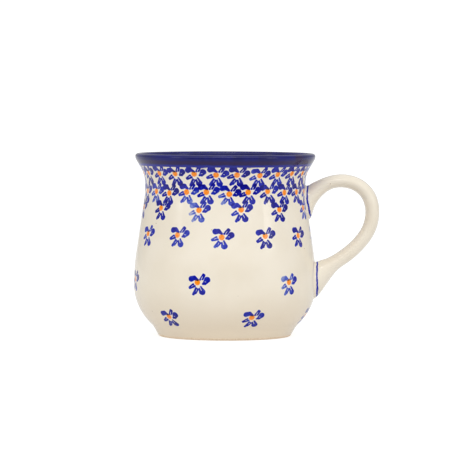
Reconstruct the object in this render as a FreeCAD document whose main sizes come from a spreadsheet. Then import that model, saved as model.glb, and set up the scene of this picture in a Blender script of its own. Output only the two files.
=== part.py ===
"""A glazed stoneware mug: thrown cup, pulled handle, the slip that joins them, and its glaze coats.

Millimetres, +Z up. The origin is on the cup's axis, at the plane it stands on, and the handle is towards +X.
"""

import FreeCAD, Part
import math
import os

import Sketcher

from FreeCAD import Placement, Rotation, Vector

DRIVING = {
    # the outside of the cup, over the glaze: radius from the axis and height above the foot
    "foot_height": 0.0,
    "foot_face_radius": 32.0,
    "foot_corner": 1.4,
    "foot_side_slope": 59.5,
    "foot_crease_curve": 9.0,
    "low_belly_curve": 27.0,
    "belly_radius": 45.5,
    "belly_height": 26.0,
    "high_belly_curve": 110.0,
    "shoulder_curve": 35.0,
    "neck_radius": 40.1,
    "neck_bottom": 73.5,
    "neck_top": 76.5,
    "flare_curve": 15.0,
    "flank_curve": 3.1,
    "lip_radius": 45.0,
    "lip_height": 89.9,
    "lip_round": 1.5,
    # the inside of the cup, over the glaze
    "floor_height": 6.0,
    "floor_radius": 20.0,
    "hollow_belly_radius": 41.0,
    "hollow_belly_height": 28.0,
    "hollow_low_belly_curve": 60.0,
    "hollow_high_belly_curve": 110.0,
    "hollow_shoulder_curve": 35.0,
    "hollow_neck_radius": 36.1,
    "hollow_neck_bottom": 73.0,
    "hollow_neck_top": 75.0,
    "hollow_flare_curve": 16.0,
    "hollow_flank_curve": 5.0,
    "hollow_top": 96.0,
    # the turned recess under the floor
    "recess_radius": 26.8,
    "recess_depth": 2.5,
    # the glaze and where it stops
    "glaze": 0.3,
    "bare_foot_height": 1.2,
    "bare_recess_height": 0.8,
    "rim_band_bottom": 85.4,
    "inner_band_bottom": 82.2,
    # inside the wall there, so that a zone of this radius holds the inner band and not the outside
    "inner_band_radius": 40.6,
    "zone_radius": 60.0,
    # the slip beads round the handle's ends: how far they stand out of its clay, and how far from the axis
    # and between which heights they reach
    "bead": 0.6,
    "upper_bead_radius": 43.0,
    "upper_bead_bottom": 50.0,
    "lower_bead_radius": 47.4,
    "lower_bead_top": 45.0,
}

# The handle's sections, from inside the neck to inside the belly: place in the plane y = 0, heading of the
# handle in degrees above +X, half its thickness and half its width.
HANDLE_SECTIONS = [
    (38.5, 66.8, 7, 8.0, 8.2),
    (41.9, 67.4, 7, 7.6, 7.7),
    (43.7, 70.2, 8, 5.8, 6.6),
    (45.9, 72.9, 14, 4.2, 5.9),
    (50.7, 76.2, 25, 3.1, 5.5),
    (58.0, 77.8, 0, 3.0, 5.4),
    (66.0, 75.9, -30, 3.1, 5.4),
    (71.4, 70.9, -60, 3.2, 5.4),
    (73.7, 62.4, -90, 3.2, 5.4),
    (71.9, 53.6, -115, 3.2, 5.3),
    (66.6, 46.0, -133, 3.2, 5.3),
    (59.0, 39.5, -139, 3.3, 5.3),
    (52.4, 34.9, -150, 4.1, 5.6),
    (48.6, 31.1, -170, 6.5, 6.8),
    (45.6, 28.4, -176, 8.2, 8.3),
    (42.3, 27.5, -178, 8.6, 8.8),
]
SECTION_NAMES = ("across", "height", "heading", "half_thick", "half_wide")

# an ellipse stands with its long axis along Y and its short axis along Z before it is turned to its heading
SECTION_STANCE = Rotation(Vector(1, 1, 1), 120)

START, END, CENTRE = 1, 2, 3
ORIGIN = (-1, 1)

os.makedirs("parts", exist_ok=True)
doc = FreeCAD.newDocument("mug")


def make_sheet():
    """The spreadsheet of driving dimensions, one alias to a row."""
    made = doc.addObject("Spreadsheet::Sheet", "Sizes")
    values = dict(DRIVING)
    for number, section in enumerate(HANDLE_SECTIONS):
        for name, value in zip(SECTION_NAMES, section):
            values[section_alias(name, number)] = value
    for row, (alias, value) in enumerate(values.items(), start=1):
        made.set(f"A{row}", alias)
        made.set(f"B{row}", str(value))
        made.setAlias(f"B{row}", alias)
    doc.recompute()
    return made


def section_alias(name, number):
    return f"handle_{name}_{number}_"


def size(words):
    """The value of a sum of aliases, such as 'belly_radius - glaze'."""
    terms = words.replace("- ", "-").replace("+ ", "+").split()
    return sum((-1 if t[0] == "-" else 1) * float(sheet.get(t.lstrip("+-"))) for t in terms)


def in_sheet(words):
    """The same sum as an expression that names the sheet."""
    return "Sizes." + words.replace("- ", "- Sizes.").replace("+ ", "+ Sizes.")


class Outline:
    """A body made by turning one closed sketch about the cup's axis. Sketch X is the radius and Y the height."""

    def __init__(self, name):
        self.body = doc.addObject("PartDesign::Body", name)
        self.sketch = self.body.newObject("Sketcher::SketchObject", name + "_outline")
        plane = next(f for f in self.body.Origin.OriginFeatures if f.Role == "XZ_Plane")
        self.sketch.AttachmentSupport = (plane, "")
        self.sketch.MapMode = "FlatFace"

    def line(self, start, end):
        return self.sketch.addGeometry(Part.LineSegment(Vector(*start, 0), Vector(*end, 0)), False)

    def arc(self, centre, radius, first, last):
        """An arc between two angles in degrees, anticlockwise."""
        circle = Part.Circle(Vector(*centre, 0), Vector(0, 0, 1), radius)
        piece = Part.ArcOfCircle(circle, math.radians(first), math.radians(last))
        return self.sketch.addGeometry(piece, False)

    def at(self, piece, end):
        point = self.sketch.getPoint(piece, end)
        return point.x, point.y

    def hold(self, *constraint):
        return self.sketch.addConstraint(Sketcher.Constraint(*constraint))

    def drive(self, kind, *where_and_words):
        """A dimension bound to a sum of the sheet's aliases."""
        *where, words = where_and_words
        number = self.hold(kind, *where, size(words))
        self.sketch.setExpression(f"Constraints[{number}]", in_sheet(words))

    def place(self, piece, end, across, up):
        self.drive("DistanceX", *ORIGIN, piece, end, across)
        self.drive("DistanceY", *ORIGIN, piece, end, up)

    def s_curve(self, low, high, low_curve, high_curve):
        """A wall between two places where it stands upright: an arc, a straight slope and an arc.

        The wall leans in where the upper place is the narrower and out where it is the wider. Returns the
        lower arc with the end that is at the lower place, and the upper arc with the end at the upper place.
        """
        low_at, high_at = [[size(words) for words in place] for place in (low, high)]
        low_radius, high_radius = size(low_curve), size(high_curve)
        radii = low_radius + high_radius
        between = (radii - abs(high_at[0] - low_at[0]), high_at[1] - low_at[1])
        slope = math.degrees(
            math.atan2(between[1], between[0]) - math.acos(radii / math.hypot(*between))
        )
        leans_in = high_at[0] < low_at[0]
        if leans_in:
            lower = self.arc((low_at[0] - low_radius, low_at[1]), low_radius, 0, slope)
            upper = self.arc((high_at[0] + high_radius, high_at[1]), high_radius, 180, 180 + slope)
        else:
            lower = self.arc((low_at[0] + low_radius, low_at[1]), low_radius, 180 - slope, 180)
            upper = self.arc((high_at[0] - high_radius, high_at[1]), high_radius, -slope, 0)
        far, near = (START, END) if leans_in else (END, START)
        straight = self.line(self.at(lower, near), self.at(upper, near))
        self.hold("Tangent", lower, near, straight, START)
        self.hold("Tangent", straight, END, upper, near)
        self.hold("Horizontal", lower, CENTRE, lower, far)
        self.hold("Horizontal", upper, CENTRE, upper, far)
        self.place(lower, far, *low)
        self.place(upper, far, *high)
        self.drive("Radius", lower, low_curve)
        self.drive("Radius", upper, high_curve)
        return (lower, far), (upper, far)

    def join(self, low_end, high_end):
        """A straight line between the ends of two pieces."""
        line = self.line(self.at(*low_end), self.at(*high_end))
        self.hold("Coincident", *low_end, line, START)
        self.hold("Coincident", line, END, *high_end)
        return line

    def close(self, last, last_end, first, top):
        """Go level from the last piece to the axis at the top, and down the axis to the first piece."""
        level = self.line((self.at(last, last_end)[0], top), (0, top))
        axis = self.line((0, top), self.at(first, START))
        self.hold("Horizontal", level)
        self.hold("Coincident", level, END, axis, START)
        self.hold("Coincident", axis, END, first, START)
        self.hold("Vertical", axis)
        return level

    def turn(self):
        """Revolve the outline about the axis."""
        doc.recompute()
        if not self.sketch.FullyConstrained:
            raise RuntimeError(f"{self.sketch.Name} isn't fully constrained")
        turned = self.body.newObject("PartDesign::Revolution", self.body.Name + "_turned")
        turned.Profile = self.sketch
        turned.ReferenceAxis = (self.sketch, ["V_Axis"])
        turned.Angle = 360
        self.sketch.Visibility = False
        return self.body


def cup_outside(name, inset):
    """The cup's outside as a filled solid. The inset comes off all over it: '' leaves the glaze on."""
    less = f" - {inset}" if inset else ""
    more = f" + {inset}" if inset else ""
    foot_height = "foot_height" + more
    belly = ("belly_radius" + less, "belly_height")
    neck_bottom = ("neck_radius" + less, "neck_bottom")
    neck_top = ("neck_radius" + less, "neck_top")
    lip = ("lip_radius" + less, "lip_height")
    outline = Outline(name)

    face_radius, corner_radius = size("foot_face_radius"), size("foot_corner" + less)
    face_height = size(foot_height)
    side_angle = size("foot_side_slope")
    face = outline.line((0, face_height), (face_radius, face_height))
    corner = outline.arc((face_radius, face_height + corner_radius), corner_radius, -90, side_angle - 90)
    corner_end = outline.at(corner, END)
    slope = math.radians(side_angle)
    # the side's length follows from the curves above it, and this is where the solver starts
    side_end = (corner_end[0] + 2 * corner_radius, corner_end[1] + 2 * corner_radius * math.tan(slope))
    side = outline.line(corner_end, side_end)
    outline.hold("PointOnObject", face, START, -2)
    outline.hold("Horizontal", face)
    outline.place(face, END, "foot_face_radius", foot_height)
    outline.hold("Tangent", face, END, corner, START)
    outline.hold("Tangent", corner, END, side, START)
    outline.drive("Radius", corner, "foot_corner" + less)
    number = outline.hold("Angle", side, slope)
    outline.sketch.setExpression(f"Constraints[{number}]", in_sheet("foot_side_slope") + " * 1 deg")

    crease_radius = size("foot_crease_curve" + more)
    belly_at = [size(words) for words in belly]
    low_radius = size("low_belly_curve" + less)
    belly_centre = (belly_at[0] - low_radius, belly_at[1])
    crease_centre = (
        side_end[0] + crease_radius * math.sin(slope),
        side_end[1] - crease_radius * math.cos(slope),
    )
    away = math.degrees(
        math.atan2(crease_centre[1] - belly_centre[1], crease_centre[0] - belly_centre[0])
    )
    crease = outline.arc(crease_centre, crease_radius, 180 + away, 90 + side_angle)
    low_belly = outline.arc(belly_centre, low_radius, away, 0)
    outline.hold("Tangent", side, END, crease, END)
    outline.hold("Tangent", crease, START, low_belly, START)
    outline.drive("Radius", crease, "foot_crease_curve" + more)
    outline.hold("Horizontal", low_belly, CENTRE, low_belly, END)
    outline.drive("Radius", low_belly, "low_belly_curve" + less)

    low, shoulder = outline.s_curve(belly, neck_bottom, "high_belly_curve" + less, "shoulder_curve" + more)
    outline.hold("Coincident", low_belly, END, *low)
    flare, flank = outline.s_curve(neck_top, lip, "flare_curve" + more, "flank_curve" + less)
    outline.join(shoulder, flare)

    lip_radius, lip_height = [size(words) for words in lip]
    lip_round = size("lip_round" + less)
    over = outline.arc((lip_radius - lip_round, lip_height), lip_round, 0, 90)
    outline.hold("Tangent", *flank, over, START)
    outline.drive("Radius", over, "lip_round" + less)
    level = outline.close(over, END, face, lip_height + lip_round)
    outline.hold("Tangent", over, END, level, START)
    return outline.turn()


def cup_hollow(name, inset):
    """The cup's hollow as a filled solid that stands out of the top. The inset is added all over it."""
    more = f" + {inset}" if inset else ""
    less = f" - {inset}" if inset else ""
    belly = ("hollow_belly_radius" + more, "hollow_belly_height")
    neck_bottom = ("hollow_neck_radius" + more, "hollow_neck_bottom")
    neck_top = ("hollow_neck_radius" + more, "hollow_neck_top")
    lip = ("lip_radius - lip_round - lip_round" + more, "lip_height")
    outline = Outline(name)

    floor_radius, floor_height = size("floor_radius"), size("floor_height" + less)
    belly_at = [size(words) for words in belly]
    low_radius = size("hollow_low_belly_curve" + more)
    reach = floor_radius - (belly_at[0] - low_radius)
    drop = belly_at[1] - floor_height
    corner_radius = (low_radius**2 - reach**2 - drop**2) / (2 * (low_radius - drop))
    lean = math.degrees(math.atan((drop - corner_radius) / reach))
    floor = outline.line((0, floor_height), (floor_radius, floor_height))
    corner = outline.arc((floor_radius, floor_height + corner_radius), corner_radius, -90, -lean)
    low_belly = outline.arc((belly_at[0] - low_radius, belly_at[1]), low_radius, -lean, 0)
    outline.hold("PointOnObject", floor, START, -2)
    outline.hold("Horizontal", floor)
    outline.place(floor, END, "floor_radius", "floor_height" + less)
    outline.hold("Tangent", floor, END, corner, START)
    outline.hold("Tangent", corner, END, low_belly, START)
    outline.hold("Horizontal", low_belly, CENTRE, low_belly, END)
    outline.drive("Radius", low_belly, "hollow_low_belly_curve" + more)

    low, shoulder = outline.s_curve(
        belly, neck_bottom, "hollow_high_belly_curve" + more, "hollow_shoulder_curve" + less
    )
    outline.hold("Coincident", low_belly, END, *low)
    flare, flank = outline.s_curve(neck_top, lip, "hollow_flare_curve" + less, "hollow_flank_curve" + more)
    outline.join(shoulder, flare)

    lip_round = size("lip_round" + less)
    lip_middle = size("lip_radius - lip_round")
    lip_height = size("lip_height")
    over = outline.arc((lip_middle, lip_height), lip_round, 90, 180)
    mouth = outline.line((lip_middle, lip_height + lip_round), (lip_middle, size("hollow_top")))
    outline.hold("Tangent", *flank, over, END)
    outline.drive("Radius", over, "lip_round" + less)
    outline.hold("Vertical", over, CENTRE, over, START)
    outline.hold("Coincident", over, START, mouth, START)
    outline.hold("Vertical", mouth)
    level = outline.close(mouth, END, floor, size("hollow_top"))
    outline.hold("Coincident", mouth, END, level, START)
    outline.drive("DistanceY", *ORIGIN, mouth, END, "hollow_top")
    return outline.turn()


def cylinder(name, radius, bottom, top):
    """A cylinder on the cup's axis between two heights."""
    made = doc.addObject("Part::Cylinder", name)
    made.setExpression("Radius", in_sheet(radius))
    made.setExpression("Height", f"{in_sheet(top)} - {in_sheet(bottom)}" if bottom else in_sheet(top))
    if bottom:
        made.setExpression("Placement.Base.z", in_sheet(bottom))
    return made


def cut(name, base, *tools):
    """The base with each tool taken away."""
    for number, tool in enumerate(tools, start=1):
        made = doc.addObject("Part::Cut", name if number == len(tools) else f"{name}_step_{number}")
        made.Base = base
        made.Tool = tool
        base = made
    return base


def common(name, base, tool):
    made = doc.addObject("Part::Common", name)
    made.Base = base
    made.Tool = tool
    return made


def fuse(name, base, tool):
    made = doc.addObject("Part::Fuse", name)
    made.Base = base
    made.Tool = tool
    return made


def handle_section(name, number, added):
    """One ellipse across the handle, with a sum of aliases added to both of its radii."""
    plus = f" + {in_sheet(added)}" if added else ""
    across, height, heading, half_thick, half_wide = [section_alias(n, number) for n in SECTION_NAMES]
    made = doc.addObject("Part::Ellipse", f"{name}_{number}")
    made.Placement = Placement(Vector(), Rotation(Vector(0, 1, 0), -size(heading)) * SECTION_STANCE)
    made.setExpression("Placement.Base.x", in_sheet(across))
    made.setExpression("Placement.Base.z", in_sheet(height))
    made.setExpression("MajorRadius", in_sheet(half_wide) + plus)
    made.setExpression("MinorRadius", in_sheet(half_thick) + plus)
    return made


def handle_loft(name, added=""):
    """A solid through the handle's sections."""
    made = doc.addObject("Part::Loft", name)
    numbers = range(len(HANDLE_SECTIONS))
    made.Sections = [handle_section(name + "_section", number, added) for number in numbers]
    made.Solid = True
    made.Ruled = False
    return made


sheet = make_sheet()

glazed_cup = cup_outside("glazed_cup", "")
clay_cup = cup_outside("clay_cup", "glaze")
drinking_space = cup_hollow("drinking_space", "")
clay_hollow = cup_hollow("clay_hollow", "glaze")

outside_zone = cylinder("outside_zone", "zone_radius", "bare_foot_height", "rim_band_bottom")
coated_zone = cylinder("coated_zone", "zone_radius", "bare_foot_height", "hollow_top")
inside_zone = cylinder("inside_zone", "zone_radius", "", "inner_band_bottom")
rim_zone = fuse(
    "rim_zone",
    cylinder("rim_zone_outside", "zone_radius", "rim_band_bottom", "hollow_top"),
    cylinder("rim_zone_inside", "inner_band_radius", "inner_band_bottom", "hollow_top"),
)

glazed_recess = cylinder("glazed_recess", "recess_radius", "", "recess_depth")
clay_recess = cylinder(
    "clay_recess", "recess_radius + glaze", "bare_recess_height", "recess_depth + glaze"
)
whole_recess = fuse("whole_recess", glazed_recess, clay_recess)

handle_core = handle_loft("handle_core")
glazed_handle = handle_loft("glazed_handle", "glaze")
beaded_handle = handle_loft("beaded_handle", "bead")
upper_zone = cylinder("upper_zone", "upper_bead_radius", "upper_bead_bottom", "lip_height")
lower_zone = cylinder("lower_zone", "lower_bead_radius", "", "lower_bead_top")
upper_bead = common("upper_bead", beaded_handle, upper_zone)
lower_bead = common("lower_bead", beaded_handle, lower_zone)

outer_coat = cut("outer_coat", glazed_cup, clay_cup)
coat_over_clay = common("coat_over_clay", outer_coat, coated_zone)
cup_clay = cut("cup_clay", glazed_cup, clay_hollow, whole_recess, coat_over_clay)
handle_clay = cut("handle_clay", handle_core, glazed_cup)

glazed_wall = cut("glazed_wall", glazed_cup, drinking_space)
clay_wall = cut("clay_wall", clay_cup, clay_hollow)
whole_coat = cut("whole_coat", glazed_wall, clay_wall)
outside_ring = common("outside_ring", outer_coat, outside_zone)
inner_coat = cut("inner_coat", clay_hollow, drinking_space)

SUBPARTS = {
    "stoneware_body": cup_clay,
    "handle": handle_clay,
    "upper_joint_slip": cut("upper_slip", upper_bead, clay_cup, handle_clay),
    "lower_joint_slip": cut("lower_slip", lower_bead, clay_cup, handle_clay),
    "outside_glaze": cut("outside_skin", outside_ring, upper_bead, lower_bead),
    "inside_glaze": common("inside_skin", inner_coat, inside_zone),
    "rim_glaze": common("rim_skin", whole_coat, rim_zone),
    "handle_glaze": cut("handle_skin", glazed_handle, handle_core, glazed_cup, upper_bead, lower_bead),
    "foot_recess_glaze": cut("recess_skin", clay_recess, glazed_recess),
}

doc.recompute()
for thing in doc.Objects:
    if {"Invalid", "Error"} & set(thing.State):
        raise RuntimeError(f"{thing.Name} failed: {thing.State}")

for node, thing in SUBPARTS.items():
    thing.Label = node
    shape = thing.Shape
    if shape.isNull() or not shape.isValid() or not shape.Solids:
        raise RuntimeError(f"{node} has no valid solid")
    shape.exportStep(f"parts/{node}.step")
    box = shape.BoundBox
    print(
        f"{node}: {len(shape.Solids)} solid, {shape.Volume / 1000:.2f} cm3,"
        f" x {box.XMin:.2f} to {box.XMax:.2f}, y {box.YMin:.2f} to {box.YMax:.2f},"
        f" z {box.ZMin:.2f} to {box.ZMax:.2f}"
    )
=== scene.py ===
import math

import bpy
import numpy as np
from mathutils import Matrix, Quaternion, Vector


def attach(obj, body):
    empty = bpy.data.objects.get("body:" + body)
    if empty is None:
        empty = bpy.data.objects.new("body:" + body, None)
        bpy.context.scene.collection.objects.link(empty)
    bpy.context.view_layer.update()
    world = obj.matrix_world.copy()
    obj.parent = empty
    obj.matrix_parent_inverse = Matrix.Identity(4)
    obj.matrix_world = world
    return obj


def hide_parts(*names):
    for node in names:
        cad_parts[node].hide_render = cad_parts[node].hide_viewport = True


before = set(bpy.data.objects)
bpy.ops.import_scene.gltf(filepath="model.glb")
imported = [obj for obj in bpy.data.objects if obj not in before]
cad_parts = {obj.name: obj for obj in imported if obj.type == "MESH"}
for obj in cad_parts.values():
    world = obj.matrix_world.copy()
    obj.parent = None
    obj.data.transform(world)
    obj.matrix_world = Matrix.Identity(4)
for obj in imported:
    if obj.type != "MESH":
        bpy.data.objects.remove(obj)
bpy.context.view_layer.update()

# The looks of a glazed stoneware mug: a thrown cup with a cobalt rim and rows of stamped flowers, a pulled
# handle, and the slip that joins them. Shapes are worked out in millimetres, in the frame of the CAD part.

MM = 0.001

# The cup's section over its glaze, as arcs in the order they are met from the foot's edge up the outside,
# over the lip and down the inside, with straight lines between them: centre, radius, first and last angle.
CUP_ARCS = [
    ((32.0, 1.4), 1.4, -90, -30.5),
    ((43.05, -0.33), 9.0, 149.5, 133.0),
    ((18.5, 26.0), 27.0, -47.0, 0),
    ((-64.5, 26.0), 110.0, 0, 8.3),
    ((75.1, 73.5), 35.0, 188.3, 180),
    ((55.1, 76.5), 15.0, 180, 150.4),
    ((41.9, 89.9), 3.1, -29.6, 0),
    ((43.5, 89.9), 1.5, 0, 180),
    ((37.0, 89.9), 5.0, 0, -36.5),
    ((52.1, 75.0), 16.0, 143.5, 180),
    ((71.1, 73.0), 35.0, 180, 188.0),
    ((-69.0, 28.0), 110.0, 8.0, 0),
    ((20.0, 27.0), 21.0, 0, -90),
]
FLOOR_HEIGHT = 6.0
GLAZE_DEPTH = 0.3
BARE_FOOT_HEIGHT = 1.2
BARE_RECESS_HEIGHT = 0.8
RECESS_RADIUS = 26.8
RECESS_DEPTH = 2.5
# the rounding of the foot ring's inner edge, and how far its middle point lies from the two faces
FOOT_ROUNDING = 0.4
FOOT_ROUNDING_MIDDLE = 0.12
RIM_BAND_BOTTOM = 85.4
INNER_BAND_BOTTOM = 82.2

# The handle's sections, from inside the neck to inside the belly: across, height, heading above +X in
# degrees, half the thickness and half the width.
HANDLE_SECTIONS = [
    (38.5, 66.8, 7, 8.0, 8.2),
    (41.9, 67.4, 7, 7.6, 7.7),
    (43.7, 70.2, 8, 5.8, 6.6),
    (45.9, 72.9, 14, 4.2, 5.9),
    (50.7, 76.2, 25, 3.1, 5.5),
    (58.0, 77.8, 0, 3.0, 5.4),
    (66.0, 75.9, -30, 3.1, 5.4),
    (71.4, 70.9, -60, 3.2, 5.4),
    (73.7, 62.4, -90, 3.2, 5.4),
    (71.9, 53.6, -115, 3.2, 5.3),
    (66.6, 46.0, -133, 3.2, 5.3),
    (59.0, 39.5, -139, 3.3, 5.3),
    (52.4, 34.9, -150, 4.1, 5.6),
    (48.6, 31.1, -170, 6.5, 6.8),
    (45.6, 28.4, -176, 8.2, 8.3),
    (42.3, 27.5, -178, 8.6, 8.8),
]
# how much of each hidden end of the handle is left off, and how far its clay lies under its glaze's back
HANDLE_END_CUT = 1.0
HANDLE_CORE_INSET = 0.05

# The slip: how far it reaches out from the wall, how far it stands out there, how far it runs on into the
# wall, and how deep its face lies under the handle's glaze and its back under the handle's clay.
SLIP_REACH = 2.4
SLIP_STANDS_OUT = 0.5
SLIP_RUNS_INTO_WALL = 0.8
SLIP_FACE_DEPTH = 0.02
SLIP_BACK_DEPTH = 0.2
SLIP_RINGS_OUT = 13
SLIP_RINGS_IN_WALL = 3
# the stretch at each end of the handle where the wall is looked for, and the points tried along it
WALL_SEARCH = 30.0
WALL_SEARCH_POINTS = 300

# The slight swing of a thrown pot: waves in a turn, their height and where they start. They grow from
# nothing at the axis and the foot to full height at this radius and height.
SWINGS = [(2, 0.10, 0.6), (3, 0.05, 2.0)]
SWING_FULL_RADIUS = 30.0
SWING_FULL_HEIGHT = 60.0

LONGEST_STEP = 1.5
SHORTEST_STEP = 0.1
SHARPEST_STEP = 9.0
TURN_STEPS = 240
HANDLE_TURN_STEPS = 72
HANDLE_STEPS = 150
CREASE_ANGLE = 50.0
SAME_PLACE = 1e-6

# A texture's height: the share that the seen faces take, the share of its strip that each strip of them
# fills, and where the strip of hidden faces begins and how high it is.
SEEN_SHARE = 0.98
STRIP_FILL = 0.99
HIDDEN_BEGINS = 0.985
HIDDEN_SHARE = 0.014


# Outlines and meshes


def arc_points(centre, radius, first, last):
    turn = abs(last - first)
    count = math.ceil(max(turn / SHARPEST_STEP, math.radians(turn) * radius / LONGEST_STEP)) + 1
    angles = np.radians(np.linspace(first, last, count))
    return np.column_stack((centre[0] + radius * np.cos(angles), centre[1] + radius * np.sin(angles)))


def divided(points):
    """The same line of points with its long runs divided and its doubled points left out."""
    line = [points[0]]
    for point in points[1:]:
        run = math.hypot(*(point - line[-1]))
        if run < SHORTEST_STEP:
            continue
        pieces = math.ceil(run / LONGEST_STEP)
        shares = np.arange(1, pieces + 1)[:, None] / pieces
        line.extend(line[-1] + shares * (point - line[-1]))
    return np.array(line)


def lengths_along(points):
    return np.concatenate([[0], np.cumsum(np.linalg.norm(np.diff(points, axis=0), axis=1))])


class CupLine:
    """The cup's section over its glaze, from the foot's edge to the middle of the floor inside."""

    def __init__(self):
        arcs = [arc_points(*arc) for arc in CUP_ARCS]
        self.points = divided(np.vstack([*arcs, [(0, FLOOR_HEIGHT)]]))
        self.along = lengths_along(self.points)
        direction = np.gradient(self.points, self.along, axis=0)
        direction /= np.linalg.norm(direction, axis=1)[:, None]
        self.out = np.column_stack((direction[:, 1], -direction[:, 0]))
        self.top = int(np.argmax(self.points[:, 1]))

    def outside(self, height):
        """How far along the line the outside reaches a height."""
        return np.interp(height, self.points[: self.top + 1, 1], self.along[: self.top + 1])

    def inside(self, height):
        return np.interp(-height, -self.points[self.top :, 1], self.along[self.top :])

    def outside_radius(self, height):
        return np.interp(height, self.points[: self.top + 1, 1], self.points[: self.top + 1, 0])

    def part(self, start, end, depth=0.0):
        """Points from one length along the line to another, sunk a depth into the cup."""
        after_start = self.along > start + SHORTEST_STEP
        before_end = self.along < end - SHORTEST_STEP
        between = self.along[after_start & before_end]
        where = np.concatenate([[start], between, [end]])
        sunk = self.points - depth * self.out
        return np.column_stack([np.interp(where, self.along, sunk[:, axis]) for axis in (0, 1)])

    def coat(self, start, end):
        """The outline of the glaze between two lengths: its face, then its back."""
        face = self.part(start, end)
        back = self.part(start, end, GLAZE_DEPTH)[::-1]
        face[:, 0] = np.maximum(face[:, 0], 0)
        return face, back


def turned(outline):
    """Rings of points made by turning an outline about the cup's axis, with its slight swing."""
    radius, height = np.array(outline).T
    angle = np.linspace(0, 2 * math.pi, TURN_STEPS, endpoint=False)
    swing = sum(size * np.sin(waves * angle + start) for waves, size, start in SWINGS)
    share = np.clip(radius / SWING_FULL_RADIUS, 0, 1) * np.clip(height / SWING_FULL_HEIGHT, 0, 1)
    reach = radius[:, None] + share[:, None] * swing[None, :]
    level = np.repeat(height[:, None], TURN_STEPS, axis=1)
    return np.stack((reach * np.cos(angle), reach * np.sin(angle), level), axis=2)


def corner_places(rings, seen_rings, strips):
    """Texture places for the corners of each face, by ring and step. The faces of the first rings lie in
    strips one over another, and the hidden faces behind them in a narrow strip at the top."""
    ring_count, step_count = rings.shape[:2]
    up = lengths_along(np.vstack((rings[:, 0], rings[:1, 0])))
    seen_length = up[seen_rings - 1]
    step = np.arange(step_count)
    strip = step * strips // step_count
    left = step * strips / step_count - strip
    right = left + strips / step_count
    places = np.zeros((ring_count, step_count, 4, 2))
    for ring in range(ring_count):
        if ring < seen_rings - 1:
            fills = [STRIP_FILL * up[ring + n] / seen_length for n in (0, 1)]
            low, high = [SEEN_SHARE * (strip + fill) / strips for fill in fills]
        else:
            shares = [(up[ring + n] - seen_length) / (up[-1] - seen_length) for n in (0, 1)]
            low, high = [np.full(step_count, HIDDEN_BEGINS + HIDDEN_SHARE * share) for share in shares]
        places[ring, :, 0] = np.column_stack((left, low))
        places[ring, :, 1] = np.column_stack((right, low))
        places[ring, :, 2] = np.column_stack((right, high))
        places[ring, :, 3] = np.column_stack((left, high))
    return places


def closed_mesh(name, rings, seen_rings, strips=1):
    """A mesh of rings of points, each joined to the next and the last to the first. A ring that has shrunk
    to one place becomes a single point, and the joint between two such rings nothing."""
    ring_count, step_count = rings.shape[:2]
    shrunk = np.ptp(rings, axis=1).max(axis=1) < SAME_PLACE
    numbers = np.zeros((ring_count, step_count), int)
    points = []
    for ring in range(ring_count):
        kept = rings[ring, :1] if shrunk[ring] else rings[ring]
        numbers[ring] = len(points) + np.arange(step_count) % len(kept)
        points.extend(kept)
    points = np.array(points)

    places = corner_places(rings, seen_rings, strips)
    next_ring = np.roll(numbers, -1, axis=0)
    corners = np.stack(
        (numbers, np.roll(numbers, -1, axis=1), np.roll(next_ring, -1, axis=1), next_ring), axis=2
    )
    a, b, c, d = [points[corners[:, :, n]] for n in range(4)]
    volume = np.sum(np.cross(c - a, d - b) * (a + b + c + d))
    order = (0, 1, 2, 3) if volume > 0 else (3, 2, 1, 0)

    faces, face_places = [], []
    for corner, place in zip(corners.reshape(-1, 4), places.reshape(-1, 4, 2)):
        kept = [n for n in order if corner[n] not in (corner[m] for m in order[: order.index(n)])]
        if len(kept) > 2:
            faces.append([int(corner[n]) for n in kept])
            face_places.extend(place[n] for n in kept)

    mesh = bpy.data.meshes.new(name)
    mesh.from_pydata((points * MM).tolist(), [], faces)
    mesh.uv_layers.new(name="UVMap").data.foreach_set("uv", np.array(face_places, np.float32).ravel())
    mesh.shade_smooth()
    mesh.set_sharp_from_angle(angle=math.radians(CREASE_ANGLE))
    piece = bpy.data.objects.new(name, mesh)
    bpy.context.scene.collection.objects.link(piece)
    return piece


def store(piece, name, values):
    """Keep a number for each point of a piece, for its material to read."""
    piece.data.attributes.new(name, "FLOAT", "POINT").data.foreach_set("value", values.astype(np.float32))


def spline(knots, values, where):
    """Rows of numbers on the natural cubic spline through rows of values."""
    gaps = np.diff(knots)[:, None]
    slopes = np.diff(values, axis=0) / gaps
    system = np.eye(len(knots))
    right = np.zeros_like(values)
    for n in range(1, len(knots) - 1):
        system[n, n - 1 : n + 2] = gaps[n - 1, 0], 2 * (gaps[n - 1, 0] + gaps[n, 0]), gaps[n, 0]
        right[n] = 3 * (slopes[n] - slopes[n - 1])
    bend = np.linalg.solve(system, right)
    n = np.clip(np.searchsorted(knots, where, side="right") - 1, 0, len(knots) - 2)
    on = (where - knots[n])[:, None]
    first_slope = slopes[n] - gaps[n] * (2 * bend[n] + bend[n + 1]) / 3
    return values[n] + on * (first_slope + on * (bend[n] + on * (bend[n + 1] - bend[n]) / (3 * gaps[n])))


class Handle:
    """The handle's surface, by length along it and by the angle round it."""

    def __init__(self):
        self.sections = np.array(HANDLE_SECTIONS, float)
        self.knots = lengths_along(self.sections[:, :2])
        self.turns = np.linspace(0, 2 * math.pi, HANDLE_TURN_STEPS, endpoint=False)

    def point(self, where, turn, proud):
        """Points at lengths along the handle, at one angle or at many, standing proud of its clay."""
        across, height, heading, thick, wide = spline(self.knots, self.sections, where).T
        heading = np.radians(heading)
        over = (thick + proud) * np.cos(turn)
        aside = (wide + proud) * np.sin(turn)
        return np.stack(
            (across - over * np.sin(heading), aside, height + over * np.cos(heading)), axis=-1
        )

    def rings(self, where, proud):
        return np.stack([self.point(where, turn, proud) for turn in self.turns], axis=1)


cup_line = CupLine()
handle = Handle()


def from_wall(points):
    """How far points stand out from the cup's outside, measured level."""
    return np.hypot(points[..., 0], points[..., 1]) - cup_line.outside_radius(points[..., 2])


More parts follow.
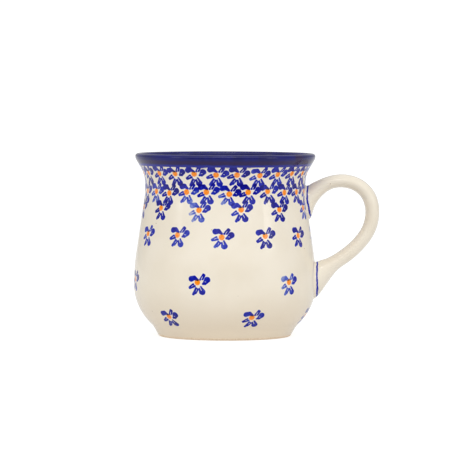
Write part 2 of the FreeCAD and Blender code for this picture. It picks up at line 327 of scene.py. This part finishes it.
def slip_rings(from_start):
    """Rings of the slip round one end of the handle, out over its face and back under it, and how many of
    them are its face."""
    where = np.linspace(0, WALL_SEARCH, WALL_SEARCH_POINTS)
    if not from_start:
        where = handle.knots[-1] - where
    in_wall = np.linspace(-SLIP_RUNS_INTO_WALL, 0, SLIP_RINGS_IN_WALL)
    reaches = np.concatenate((in_wall, np.linspace(0, SLIP_REACH, SLIP_RINGS_OUT)[1:]))
    share = np.clip(reaches / SLIP_REACH, 0, 1)
    face_proud = GLAZE_DEPTH - SLIP_FACE_DEPTH + SLIP_STANDS_OUT * (1 - share) ** 2
    columns = []
    for turn in handle.turns:
        clear = np.maximum.accumulate(from_wall(handle.point(where, turn, GLAZE_DEPTH)))
        at = np.interp(reaches, clear, where)
        face = handle.point(at, turn, face_proud)
        back = handle.point(at, turn, -SLIP_BACK_DEPTH)[::-1]
        columns.append(np.vstack((face, back)))
    return np.stack(columns, axis=1), len(reaches)


# The nodes of a material

# lower than a real glaze's 1.5 or so, so that the room's reflections pale the inks less
GLAZE_IOR = 1.42
GLOSSY = (0.06, 0.12)
MATT = (0.75, 0.9)
# the limits that most of a noise's values lie between
NOISE_LIMITS = (0.3, 0.7)


def colour(red, green, blue):
    """A display colour from 0 to 255 as the linear colour that a shader takes."""
    shares = [value / 255 for value in (red, green, blue)]
    return (*[s / 12.92 if s < 0.04045 else ((s + 0.055) / 1.055) ** 2.4 for s in shares], 1.0)


class Nodes:
    """Adds nodes to a tree. The call add gives back the node, parts its three outputs, and every other
    call one output."""

    def __init__(self, tree):
        self.tree = tree

    def add(self, kind, inputs, **settings):
        node = self.tree.nodes.new("ShaderNode" + kind)
        for name, value in settings.items():
            setattr(node, name, value)
        for name, value in inputs.items():
            if isinstance(value, bpy.types.NodeSocket):
                self.tree.links.new(value, node.inputs[name])
            else:
                node.inputs[name].default_value = value
        return node

    def math(self, operation, *values):
        return self.add("Math", dict(enumerate(values)), operation=operation).outputs[0]

    def either_way(self, share, reach):
        """A number from minus the reach to the reach, by a share from 0 to 1."""
        return self.math("MULTIPLY_ADD", share, 2 * reach, -reach)

    def vector(self, operation, *values):
        node = self.add("VectorMath", dict(enumerate(values)), operation=operation)
        return node.outputs["Value" if operation in ("LENGTH", "DOT_PRODUCT") else "Vector"]

    def scaled(self, vector, by):
        return self.add("VectorMath", {0: vector, "Scale": by}, operation="SCALE").outputs["Vector"]

    def join(self, x, y, z=0.0):
        return self.add("CombineXYZ", {0: x, 1: y, 2: z}).outputs[0]

    def parts(self, vector):
        return self.add("SeparateXYZ", {0: vector}).outputs

    def mix(self, share, first, second, blend="MIX"):
        inputs = {0: share, 6: first, 7: second}
        return self.add("Mix", inputs, data_type="RGBA", blend_type=blend).outputs[2]

    def between(self, value, low, high, to_low=0.0, to_high=1.0):
        """The value's place between two limits, eased at both."""
        inputs = {"Value": value, "From Min": low, "From Max": high, "To Min": to_low, "To Max": to_high}
        return self.add("MapRange", inputs, interpolation_type="SMOOTHSTEP", clamp=False).outputs[0]

    def noise(self, place, size, detail=2.0, roughness=0.5, kind="Factor"):
        """Noise whose lumps are about one size across."""
        inputs = {"Vector": place, "Scale": 1 / size, "Detail": detail, "Roughness": roughness}
        return self.add("TexNoise", inputs).outputs[0 if kind == "Factor" else 1]

    def stored(self, name):
        return self.add("Attribute", {}, attribute_name=name).outputs["Fac"]

    def place(self):
        """Where the point is, in millimetres from the part's origin."""
        return self.scaled(self.add("TexCoord", {}).outputs["Object"], 1 / MM)


def material(name, paint, roughness):
    """A material whose colour and height, in millimetres, come from a paint function."""
    made = bpy.data.materials.new(name)
    made.use_nodes = True
    made.node_tree.nodes.clear()
    nodes = Nodes(made.node_tree)
    tint, height, roughness_share = paint(nodes)
    bump = nodes.add("Bump", {"Height": height, "Distance": MM, "Strength": 1.0})
    rough = nodes.between(roughness_share, *NOISE_LIMITS, *roughness)
    inputs = {"Base Color": tint, "Roughness": rough, "Normal": bump.outputs[0], "IOR": GLAZE_IOR}
    shader = nodes.add("BsdfPrincipled", inputs)
    output = nodes.add("OutputMaterial", {})
    made.node_tree.links.new(shader.outputs[0], output.inputs[0])
    return made


# Glazes

CREAM = colour(240, 231, 214)
CREAM_DEEP = colour(236, 226, 207)
# painted shade: the glaze as it is drawn darker and warmer towards the foot
CREAM_SHADED_FOOT = colour(234, 219, 196)
SPECK = colour(118, 92, 70)
COBALT = colour(14, 16, 104)
COBALT_DEEP = colour(8, 10, 86)
# a dark purple-brown reflection painted into the cobalt glaze
COBALT_DARK_REFLECTION = colour(38, 14, 72)
COBALT_EDGE = colour(28, 36, 146)
# what a full layer of the blue ink lets through of red, green and blue
INK_PASSES = (0.0003, 0.0016, 0.41)
ORANGE = colour(255, 140, 0)
BARE_CLAY = colour(240, 221, 196)
BARE_CLAY_DEEP = colour(222, 198, 168)

CLOUD_SIZE = 22.0
# the heights where painted shade begins to darken the glaze towards the foot and where it is darkest
FOOT_SHADE_HEIGHTS = (30.0, 1.0)
SPECK_SPACING = 10.0
# a speck's faint edge and its full edge, as shares of that spacing
SPECK_EDGE = (0.034, 0.016)
SPECK_STRENGTH = 0.75
SKIN_DEPTH = 0.06
# the size of the lumps by which a glaze's gloss varies
GLOSS_PATCH = 14.0


def cream_glaze(nodes, place):
    """Clear glaze over pale clay: slow clouds of colour, painted shade towards the foot, a few iron specks,
    and a faintly uneven skin.
    """
    cloud = nodes.noise(place, CLOUD_SIZE, 3.0)
    tint = nodes.mix(nodes.between(cloud, 0.35, 0.7), CREAM, CREAM_DEEP)
    # painted shade, darkening the glaze towards the foot
    height = nodes.parts(place)[2]
    tint = nodes.mix(nodes.between(height, *FOOT_SHADE_HEIGHTS), tint, CREAM_SHADED_FOOT)
    cells = nodes.add("TexVoronoi", {"Vector": place, "Scale": 1 / SPECK_SPACING})
    speck = nodes.between(cells.outputs["Distance"], *SPECK_EDGE)
    tint = nodes.mix(nodes.math("MULTIPLY", speck, SPECK_STRENGTH), tint, SPECK)
    skin = nodes.math("MULTIPLY", nodes.noise(place, 9.0), SKIN_DEPTH)
    return tint, skin


def inked(nodes, tint, ink):
    """The colour under a layer of blue ink: the thicker the layer, the less comes through."""
    passed = [nodes.math("POWER", share, ink) for share in INK_PASSES]
    colour_passed = nodes.add("CombineColor", dict(enumerate(passed))).outputs[0]
    return nodes.mix(1.0, tint, colour_passed, "MULTIPLY")


def plain_paint(nodes):
    place = nodes.place()
    tint, skin = cream_glaze(nodes, place)
    return tint, skin, nodes.noise(place, GLOSS_PATCH)


# where a dark reflection is painted on the rim's glaze through its whole depth: an angle in radians from
# the front towards the handle, and how far to either side the painted reflection begins and is full
DARK_REFLECTION_ANGLE = 0.95
DARK_REFLECTION_ANGLE_EDGE = (0.10, 0.04)
# up from the band's lower edge: where the painted dark reflection begins and is full, where it is gone and
# still full, and where the bright edge is gone and is full
DARK_REFLECTION_BEGINS = (1.2, 1.9)
DARK_REFLECTION_ENDS = (4.0, 3.0)
BRIGHT_EDGE = (1.7, 0.6)
DARK_REFLECTION_STRENGTH = 0.8


def rim_paint(nodes):
    """Cobalt glaze: dark where it lies thick, brightest at its edge, and a dark reflection painted in brown
    across its middle and down one upright strip.
    """
    place = nodes.place()
    along = nodes.stored("along")
    drift = nodes.noise(nodes.vector("MULTIPLY", place, (1.0, 1.0, 0.25)), 6.0, 3.0)
    tint = nodes.mix(nodes.between(drift, 0.35, 0.65), COBALT, COBALT_DEEP)
    edge = float(cup_line.outside(RIM_BAND_BOTTOM))
    where = nodes.math("ADD", along, nodes.either_way(nodes.noise(place, 5.0), 0.4))
    # the painted dark reflection: a brown strip across the band and an upright one on the handle's side
    reflection_from = nodes.between(where, *[edge + up for up in DARK_REFLECTION_BEGINS])
    reflection_to = nodes.between(where, *[edge + up for up in DARK_REFLECTION_ENDS])
    dark_reflection = nodes.math("MULTIPLY", reflection_from, reflection_to)
    x, y, _ = nodes.parts(place)
    angle = nodes.math("ARCTAN2", x, nodes.math("MULTIPLY", y, -1.0))
    off_dark_reflection = nodes.math("ABSOLUTE", nodes.math("SUBTRACT", angle, DARK_REFLECTION_ANGLE))
    dark_reflection = nodes.math("MAXIMUM", dark_reflection, nodes.between(off_dark_reflection, *DARK_REFLECTION_ANGLE_EDGE))
    tint = nodes.mix(nodes.math("MULTIPLY", dark_reflection, DARK_REFLECTION_STRENGTH), tint, COBALT_DARK_REFLECTION)
    bright = nodes.between(where, *[edge + up for up in BRIGHT_EDGE])
    tint = nodes.mix(bright, tint, COBALT_EDGE)
    skin = nodes.math("MULTIPLY", nodes.noise(place, 7.0), SKIN_DEPTH)
    return tint, skin, nodes.noise(place, 10.0)


GRAIN_SIZE = 0.7
GRAIN_DEPTH = 0.06
TOOL_RING_SIZE = 0.8
TOOL_RING_DEPTH = 0.05


def clay_paint(nodes):
    """Bare fired clay: fine grog, faint rings from the turning tool."""
    place = nodes.place()
    x, y, z = nodes.parts(place)
    radius = nodes.vector("LENGTH", nodes.join(x, y))
    grain = nodes.noise(place, GRAIN_SIZE, 5.0, 0.65)
    tint = nodes.mix(nodes.between(grain, 0.35, 0.7), BARE_CLAY, BARE_CLAY_DEEP)
    rings = nodes.noise(nodes.join(radius, z), TOOL_RING_SIZE, 3.0)
    grain_height = nodes.math("MULTIPLY", grain, GRAIN_DEPTH)
    skin = nodes.math("MULTIPLY_ADD", rings, TOOL_RING_DEPTH, grain_height)
    return tint, skin, grain


# The stamped flower, in millimetres from its middle: strokes from one end to the other, each end with the
# stroke's half width, and the bare veins left inside them.
PETAL_STROKES = [
    ((-3.4, 2.4, 1.25), (-1.8, 2.75, 1.0)),
    ((-1.8, 2.75, 1.0), (-0.05, 1.6, 0.38)),
    ((1.15, 1.7, 0.36), (2.9, 3.85, 0.55)),
    ((3.3, 3.6, 0.5), (2.35, 1.9, 0.42)),
    ((4.6, 1.25, 1.4), (3.4, -0.1, 0.9)),
    ((3.4, -0.1, 0.9), (2.4, -0.5, 0.38)),
    ((1.7, -4.3, 1.45), (1.2, -2.0, 0.38)),
    ((1.3, -4.2, 1.25), (0.4, -2.9, 0.42)),
    ((-1.35, -2.4, 0.38), (-2.9, -5.1, 0.52)),
    ((-0.6, -3.0, 0.45), (-1.95, -4.4, 0.75)),
    ((-2.6, -0.35, 0.4), (-4.6, -1.75, 0.42)),
    ((-1.9, -1.3, 0.4), (-4.4, -1.95, 0.45)),
]
BARE_VEINS = [
    ((1.75, 1.9, 0.2), (2.45, 3.0, 0.16)),
    ((3.1, 0.5, 0.08), (3.8, 0.35, 0.2)),
    ((0.75, -2.1, 0.2), (1.35, -3.6, 0.2)),
    ((-1.0, -3.0, 0.14), (-1.45, -3.8, 0.14)),
    ((-2.6, -0.8, 0.16), (-3.5, -1.3, 0.14)),
]
# how far the ink spreads past a stroke, and how far outside that its edge is bare and inside it full
INK_SPREAD = 0.13
INK_EDGE = (0.14, -0.12)
# the same for the round orange dab, from its middle
DAB_EDGE = (1.6, 1.3)

# How one stamping differs from another. Its tilt is in radians and its shift in millimetres, each either
# way. The pairs are what a chance from 0 to 1 is multiplied by, and what is then added.
TILT = 0.10
SHIFT_ACROSS = 0.45
SHIFT_UP = 0.4
INK_BY_CHANCE = (0.75, 0.35)
FADE_ACROSS = (0.10, -0.03)
FADE_UP = (0.08, -0.02)
DAB_ACROSS = (0.9, -0.6)
DAB_UP = (-0.7, 0.5)
FAINTEST_INK = 0.15
MOST_INK = 1.5
INK_LOST_UNDER_DAB = 0.45


def stroke_distance(nodes, place, start, end):
    """How far a place is outside a stroke."""
    first = Vector((*start[:2], 0))
    run = Vector((*end[:2], 0)) - first
    from_first = nodes.vector("SUBTRACT", place, first)
    share = nodes.vector("DOT_PRODUCT", from_first, run / run.length_squared)
    share = nodes.add("Clamp", {"Value": share}).outputs[0]
    away = nodes.vector("LENGTH", nodes.vector("SUBTRACT", from_first, nodes.scaled(run, share)))
    return nodes.math("SUBTRACT", away, nodes.math("MULTIPLY_ADD", share, end[2] - start[2], start[2]))


def nearest(nodes, distances):
    found = distances[0]
    for distance in distances[1:]:
        found = nodes.math("MINIMUM", found, distance)
    return found


def make_flower_group():
    """A node group: how much blue and how much orange one stamped flower leaves at a place."""
    tree = bpy.data.node_groups.new("stamped_flower", "ShaderNodeTree")
    for name, kind in (("Place", "NodeSocketVector"), ("Chance", "NodeSocketVector")):
        tree.interface.new_socket(name, in_out="INPUT", socket_type=kind)
    for name in ("Blue", "Orange"):
        tree.interface.new_socket(name, in_out="OUTPUT", socket_type="NodeSocketFloat")
    nodes = Nodes(tree)
    given = tree.nodes.new("NodeGroupInput").outputs
    tilt, ink, dab = nodes.parts(given["Chance"])
    inputs = {"Vector": given["Place"], "Axis": (0, 0, 1), "Angle": nodes.either_way(tilt, TILT)}
    place = nodes.add("VectorRotate", inputs).outputs[0]
    petals = nearest(nodes, [stroke_distance(nodes, place, *ends) for ends in PETAL_STROKES])
    veins = nearest(nodes, [stroke_distance(nodes, place, *ends) for ends in BARE_VEINS])
    petals = nodes.math("SUBTRACT", petals, INK_SPREAD)
    outside_ink = nodes.math("MAXIMUM", petals, nodes.math("MULTIPLY", veins, -1.0))
    cover = nodes.between(outside_ink, *INK_EDGE)
    across, up, _ = nodes.parts(place)
    fade_across = nodes.math("MULTIPLY", across, nodes.math("MULTIPLY_ADD", dab, *FADE_ACROSS))
    fade_up = nodes.math("MULTIPLY", up, nodes.math("MULTIPLY_ADD", tilt, *FADE_UP))
    ink = nodes.math("MULTIPLY_ADD", ink, *INK_BY_CHANCE)
    ink = nodes.math("ADD", ink, nodes.math("ADD", fade_across, fade_up))
    dab_across = nodes.math("MULTIPLY_ADD", dab, *DAB_ACROSS)
    dab_up = nodes.math("MULTIPLY_ADD", tilt, *DAB_UP)
    from_dab = nodes.vector("SUBTRACT", place, nodes.join(dab_across, dab_up))
    orange = nodes.between(nodes.vector("LENGTH", from_dab), *DAB_EDGE)
    under_orange = nodes.math("MULTIPLY_ADD", orange, -INK_LOST_UNDER_DAB, 1.0)
    ink = nodes.math("MULTIPLY", nodes.math("MAXIMUM", ink, FAINTEST_INK), under_orange)
    blue = nodes.math("MULTIPLY", cover, ink)
    result = tree.nodes.new("NodeGroupOutput")
    tree.links.new(blue, result.inputs["Blue"])
    tree.links.new(orange, result.inputs["Orange"])
    return tree


# Rows of flowers: height, flowers in a full turn, and the degrees from the front to one of them
FLOWER_ROWS = [
    (81.7, 24, -5.8),
    (72.9, 24, 2.5),
    (64.6, 12, 11.1),
    (51.7, 12, -2.2),
    (28.8, 6, -16.7),
    (11.5, 6, 19.0),
]


def picked(nodes, along, limits, values):
    """The first value below the first limit, the second below the second, and so on."""
    result = values[0]
    for limit, before, after in zip(limits, values, values[1:]):
        past = nodes.math("GREATER_THAN", along, limit)
        result = nodes.math("MULTIPLY_ADD", past, after - before, result)
    return result


def flower_rows(nodes, flower, angle, radius, along, rows, seed):
    """Blue and orange left by rows of flowers that are clear of each other, listed from the lowest up."""
    middles = [float(cup_line.outside(height)) for height, _, _ in rows]
    limits = [(low + high) / 2 for low, high in zip(middles, middles[1:])]
    step = picked(nodes, along, limits, [2 * math.pi / count for _, count, _ in rows])
    phase = picked(nodes, along, limits, [math.radians(first) for _, _, first in rows])
    middle = picked(nodes, along, limits, middles)
    steps = nodes.math("DIVIDE", nodes.math("SUBTRACT", angle, phase), step)
    number = nodes.math("ROUND", steps)
    off = nodes.math("MULTIPLY", nodes.math("SUBTRACT", steps, number), step)
    across = nodes.math("MULTIPLY", off, radius)
    around = nodes.math("DIVIDE", 2 * math.pi, step)
    number = nodes.math("WRAP", number, around, 0.0)
    chance = nodes.add(
        "TexWhiteNoise", {"Vector": nodes.join(number, middle, seed)}, noise_dimensions="3D"
    ).outputs["Color"]
    shift = nodes.parts(chance)
    across = nodes.math("ADD", across, nodes.either_way(shift[1], SHIFT_ACROSS))
    up = nodes.math("SUBTRACT", along, middle)
    up = nodes.math("ADD", up, nodes.either_way(shift[2], SHIFT_UP))
    group = nodes.add("Group", {}, node_tree=flower)
    nodes.tree.links.new(nodes.join(across, up), group.inputs["Place"])
    nodes.tree.links.new(chance, group.inputs["Chance"])
    return group.outputs["Blue"], group.outputs["Orange"]


def split_row(row):
    """A crowded row as two, each with every second flower."""
    height, count, first = row
    return (height, count // 2, first), (height, count // 2, first + 360 / count)


INK_WANDER = 0.1
BLOT_SIZE = 1.8
BLOT_STRENGTH = (0.7, 1.35)
DAB_STRENGTH = (0.85, 1.0)
# the cobalt band's brushed edge on this coat: how far under the coat's top it is bare and full, and how far
# it wanders either way
BAND_EDGE = (0.45, 0.2)
BAND_WANDER = 0.3


def flower_paint(nodes):
    """The cream glaze with its rows of flowers, and the cobalt band's edge brushed over its top."""
    place = nodes.place()
    x, y, _ = nodes.parts(place)
    angle = nodes.math("ARCTAN2", x, nodes.math("MULTIPLY", y, -1.0))
    radius = nodes.vector("LENGTH", nodes.join(x, y))
    wander = nodes.noise(place, 1.6, 1.0, kind="Color")
    wander_across, wander_up, _ = nodes.parts(wander)
    along = nodes.stored("along")
    along_inked = nodes.math("ADD", along, nodes.either_way(wander_up, INK_WANDER))
    shift_across = nodes.either_way(wander_across, INK_WANDER)
    angle = nodes.math("ADD", angle, nodes.math("DIVIDE", shift_across, radius))

    tint, skin = cream_glaze(nodes, place)
    flower = make_flower_group()
    top, second, *sparse = FLOWER_ROWS
    top_even, top_odd = split_row(top)
    second_even, second_odd = split_row(second)
    ink, orange = 0.0, 0.0
    for seed, rows in enumerate(([*sparse[::-1], top_even], [top_odd], [second_even], [second_odd])):
        more_ink, more_orange = flower_rows(nodes, flower, angle, radius, along_inked, rows, float(seed))
        ink = nodes.math("ADD", ink, more_ink)
        orange = nodes.math("MAXIMUM", orange, more_orange)
    blot = nodes.between(nodes.noise(place, BLOT_SIZE, 3.0), 0.3, 0.65, *BLOT_STRENGTH)
    ink = nodes.math("MINIMUM", nodes.math("MULTIPLY", ink, blot), MOST_INK)
    dabbed = nodes.between(nodes.noise(place, 1.0), 0.25, 0.6, *DAB_STRENGTH)
    tint = nodes.mix(nodes.math("MULTIPLY", orange, dabbed), tint, ORANGE)
    tint = inked(nodes, tint, ink)

    edge = float(cup_line.outside(RIM_BAND_BOTTOM))
    where = nodes.math("ADD", along, nodes.either_way(nodes.noise(place, 4.0), BAND_WANDER))
    band = nodes.between(where, *[edge - down for down in BAND_EDGE])
    tint = nodes.mix(band, tint, COBALT_EDGE)
    return tint, skin, nodes.noise(place, GLOSS_PATCH)


# The cobalt line on the slip: how far from the wall its middle runs and wanders, its least half width and
# how much wider it gets, its soft edge, and how much ink it has.
LINE_FROM_WALL = 1.3
LINE_WANDER = 0.3
LINE_HALF_WIDTH = 0.14
LINE_WIDENS = 0.4
LINE_EDGE = (0.12, -0.10)
LINE_INK = 0.75


def slip_paint(nodes):
    """The cream glaze with a cobalt line brushed round the joint."""
    place = nodes.place()
    tint, skin = cream_glaze(nodes, place)
    wander = nodes.either_way(nodes.noise(place, 3.0), LINE_WANDER)
    out = nodes.math("ADD", nodes.stored("from_wall"), wander)
    off_line = nodes.math("ABSOLUTE", nodes.math("SUBTRACT", out, LINE_FROM_WALL))
    width = nodes.math("MULTIPLY_ADD", nodes.noise(place, 2.0), LINE_WIDENS, LINE_HALF_WIDTH)
    line = nodes.between(nodes.math("SUBTRACT", off_line, width), *LINE_EDGE)
    tint = inked(nodes, tint, nodes.math("MULTIPLY", line, LINE_INK))
    return tint, skin, nodes.noise(place, GLOSS_PATCH)


# The pieces


def finish_piece(piece, paint, slot, *nodes):
    piece.data.materials.append(paint)
    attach(piece, "root")
    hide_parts(*nodes)


def coat_piece(name, start, end, strips):
    """A coat of glaze on the cup between two lengths along its section."""
    face, back = cup_line.coat(start, end)
    return closed_mesh(name, turned(np.vstack((face, back))), len(face), strips)


def store_along(piece):
    """Keep each point's length along the cup's section."""
    points = np.array([v.co for v in piece.data.vertices]) / MM
    section = np.column_stack((np.hypot(points[:, 0], points[:, 1]), points[:, 2]))
    apart = np.linalg.norm(section[:, None, :] - cup_line.points[None, :, :], axis=2)
    store(piece, "along", cup_line.along[np.argmin(apart, axis=1)])


foot_edge = float(cup_line.outside(BARE_FOOT_HEIGHT))
band_edge = float(cup_line.outside(RIM_BAND_BOTTOM))
inner_band_edge = float(cup_line.inside(INNER_BAND_BOTTOM))
floor_middle = float(cup_line.along[-1])

foot_inside = [
    (0, RECESS_DEPTH + GLAZE_DEPTH),
    (RECESS_RADIUS + GLAZE_DEPTH, RECESS_DEPTH + GLAZE_DEPTH),
    (RECESS_RADIUS + GLAZE_DEPTH, BARE_RECESS_HEIGHT),
    (RECESS_RADIUS, BARE_RECESS_HEIGHT),
    (RECESS_RADIUS, FOOT_ROUNDING),
    (RECESS_RADIUS + FOOT_ROUNDING_MIDDLE, FOOT_ROUNDING_MIDDLE),
    (RECESS_RADIUS + FOOT_ROUNDING, 0),
]
clay_outline = np.vstack(
    (
        foot_inside,
        cup_line.part(0, foot_edge),
        cup_line.part(foot_edge, floor_middle, GLAZE_DEPTH),
    )
)
clay_outline[-1, 0] = 0
clay_rings = turned(divided(clay_outline))
clay_cup = closed_mesh("clay_cup", clay_rings, len(clay_rings))
finish_piece(clay_cup, material("bare_clay", clay_paint, MATT), "clay", "stoneware_body")

outside_coat = coat_piece("outside_glaze_coat", foot_edge, band_edge, 2)
store_along(outside_coat)
flowered_glaze = material("flowered_glaze", flower_paint, GLOSSY)
finish_piece(outside_coat, flowered_glaze, "painted_glaze", "outside_glaze")

rim_coat = coat_piece("rim_glaze_coat", band_edge, inner_band_edge, 4)
store_along(rim_coat)
finish_piece(rim_coat, material("cobalt_glaze", rim_paint, GLOSSY), "cobalt_glaze", "rim_glaze")

cream = material("cream_glaze", plain_paint, GLOSSY)
inside_coat = coat_piece("inside_glaze_coat", inner_band_edge, floor_middle, 2)
finish_piece(inside_coat, cream, "cream_glaze", "inside_glaze")

recess_face = divided(
    np.array([(0, RECESS_DEPTH), (RECESS_RADIUS, RECESS_DEPTH), (RECESS_RADIUS, BARE_RECESS_HEIGHT)])
)
recess_back = divided(
    np.array(
        [
            (RECESS_RADIUS + GLAZE_DEPTH, BARE_RECESS_HEIGHT),
            (RECESS_RADIUS + GLAZE_DEPTH, RECESS_DEPTH + GLAZE_DEPTH),
            (0, RECESS_DEPTH + GLAZE_DEPTH),
        ]
    )
)
recess_coat = closed_mesh(
    "recess_glaze_coat", turned(np.vstack((recess_face, recess_back))), len(recess_face)
)
finish_piece(recess_coat, cream, "cream_glaze", "foot_recess_glaze")

handle_where = np.linspace(HANDLE_END_CUT, handle.knots[-1] - HANDLE_END_CUT, HANDLE_STEPS)
core = handle.rings(handle_where, -HANDLE_CORE_INSET)
end_middles = [ring.mean(axis=0) for ring in (core[0], core[-1])]
first_end, last_end = [np.tile(middle, (1, HANDLE_TURN_STEPS, 1)) for middle in end_middles]
handle_core = closed_mesh("pulled_handle", np.concatenate((first_end, core, last_end)), len(core) + 2)
finish_piece(handle_core, cream, "handle_clay", "handle")

face = handle.rings(handle_where, GLAZE_DEPTH)
back = handle.rings(handle_where[::-1], 0.0)
handle_coat = closed_mesh("handle_glaze_coat", np.concatenate((face, back)), len(face))
finish_piece(handle_coat, cream, "handle_glaze", "handle_glaze")

slip_glaze = material("slip_glaze", slip_paint, GLOSSY)
for name, node, from_start in (
    ("upper_slip_joint", "upper_joint_slip", True),
    ("lower_slip_joint", "lower_joint_slip", False),
):
    rings, seen = slip_rings(from_start)
    joint = closed_mesh(name, rings, seen)
    points = np.array([v.co for v in joint.data.vertices]) / MM
    store(joint, "from_wall", from_wall(points))
    finish_piece(joint, slip_glaze, "slip", node)


# The studio, in metres

# the floor's edge towards the camera and its other edges
FLOOR_FRONT = 0.45
FLOOR_SIDE = 12.0
FLOOR_TINT = (0.40, 0.40, 0.40, 1)
# how much the floor glows, and how much more where the camera sees it
FLOOR_GLOW = 0.46
FLOOR_GLOW_SEEN = 0.30
WHITE = (1, 1, 1, 1)


def make_floor():
    """A white floor whose own glow leaves only a faint shadow on it."""
    mesh = bpy.data.meshes.new("studio_floor")
    front, back = -FLOOR_FRONT, FLOOR_SIDE
    left, right = -FLOOR_SIDE, FLOOR_SIDE
    corners = [(left, front, 0), (right, front, 0), (right, back, 0), (left, back, 0)]
    mesh.from_pydata(corners, [], [(0, 1, 2, 3)])
    floor = bpy.data.objects.new("studio_floor", mesh)
    bpy.context.scene.collection.objects.link(floor)
    made = bpy.data.materials.new("floor_white")
    made.use_nodes = True
    made.node_tree.nodes.clear()
    nodes = Nodes(made.node_tree)
    surface = nodes.add("BsdfDiffuse", {"Color": FLOOR_TINT})
    seen = nodes.add("LightPath", {}).outputs["Is Camera Ray"]
    strength = nodes.math("MULTIPLY_ADD", seen, FLOOR_GLOW_SEEN, FLOOR_GLOW)
    glow = nodes.add("Emission", {"Color": WHITE, "Strength": strength})
    both = nodes.add("AddShader", {0: surface.outputs[0], 1: glow.outputs[0]})
    output = nodes.add("OutputMaterial", {})
    made.node_tree.links.new(both.outputs[0], output.inputs[0])
    mesh.materials.append(made)


# the room's brightness behind the mug and in front of it, what is added overhead, the share lost in a low
# gap in front, and the least that the camera sees
ROOM_BEHIND = 0.53
ROOM_IN_FRONT = 1.2
ROOM_OVERHEAD = 0.3
GAP_LOSS = 0.85
ROOM_SEEN = 1.1


def make_world():
    """White all round, brighter in front and overhead, with a dim gap low in front."""
    world = bpy.data.worlds.new("studio")
    bpy.context.scene.world = world
    world.use_nodes = True
    world.node_tree.nodes.clear()
    nodes = Nodes(world.node_tree)
    _, y, z = nodes.parts(nodes.add("TexCoord", {}).outputs["Generated"])
    strength = nodes.between(y, 0.0, -0.6, ROOM_BEHIND, ROOM_IN_FRONT)
    gap = nodes.math("MULTIPLY", nodes.between(y, -0.45, -0.75), nodes.between(z, 0.2, 0.08))
    strength = nodes.math("MULTIPLY", strength, nodes.math("MULTIPLY_ADD", gap, -GAP_LOSS, 1.0))
    strength = nodes.math("ADD", strength, nodes.between(z, 0.2, 0.9, 0.0, ROOM_OVERHEAD))
    seen = nodes.add("LightPath", {}).outputs["Is Camera Ray"]
    strength = nodes.math("MAXIMUM", strength, nodes.math("MULTIPLY", seen, ROOM_SEEN))
    background = nodes.add("Background", {"Color": WHITE, "Strength": strength})
    output = nodes.add("OutputWorld", {})
    world.node_tree.links.new(background.outputs[0], output.inputs[0])


LIGHTS_AIM_AT = Vector((0, 0, 0.05))
# name, place, width, height and power in watts
SOFTBOXES = [
    ("left_softbox", (-1.31, -0.58, 0.48), 0.3, 0.28, 0.5),
    ("right_softbox", (1.27, -0.68, 0.48), 0.36, 0.28, 0.8),
    ("top_softbox", (0, -0.85, 1.3), 0.6, 0.1, 1.6),
]


def make_light(name, place, width, height, power):
    light = bpy.data.lights.new(name, "AREA")
    light.shape = "RECTANGLE"
    light.size = width
    light.size_y = height
    light.energy = power
    lamp = bpy.data.objects.new(name, light)
    lamp.location = place
    lamp.rotation_mode = "QUATERNION"
    lamp.rotation_quaternion = (LIGHTS_AIM_AT - Vector(place)).to_track_quat("-Z", "Y")
    bpy.context.scene.collection.objects.link(lamp)


CAMERA_DISTANCE = 1.68
CAMERA_HEIGHT = 0.132
AIM_HEIGHT = 0.0555
# the width that the picture takes in at the mug
FIELD_WIDTH = 0.225
CAMERA_ROLL = 0.2


def make_camera():
    camera = bpy.data.cameras.new("camera")
    camera.sensor_width = 36.0
    camera.lens = camera.sensor_width * CAMERA_DISTANCE / FIELD_WIDTH
    camera.clip_end = 100
    holder = bpy.data.objects.new("camera", camera)
    holder.location = (0, -CAMERA_DISTANCE, CAMERA_HEIGHT)
    aim = Vector((0, 0, AIM_HEIGHT)) - holder.location
    holder.rotation_mode = "QUATERNION"
    roll = Quaternion((0, 0, 1), math.radians(CAMERA_ROLL))
    holder.rotation_quaternion = aim.to_track_quat("-Z", "Y") @ roll
    bpy.context.scene.collection.objects.link(holder)
    bpy.context.scene.camera = holder


make_floor()
make_world()
for softbox in SOFTBOXES:
    make_light(*softbox)
make_camera()
bpy.context.scene.view_settings.view_transform = "Standard"
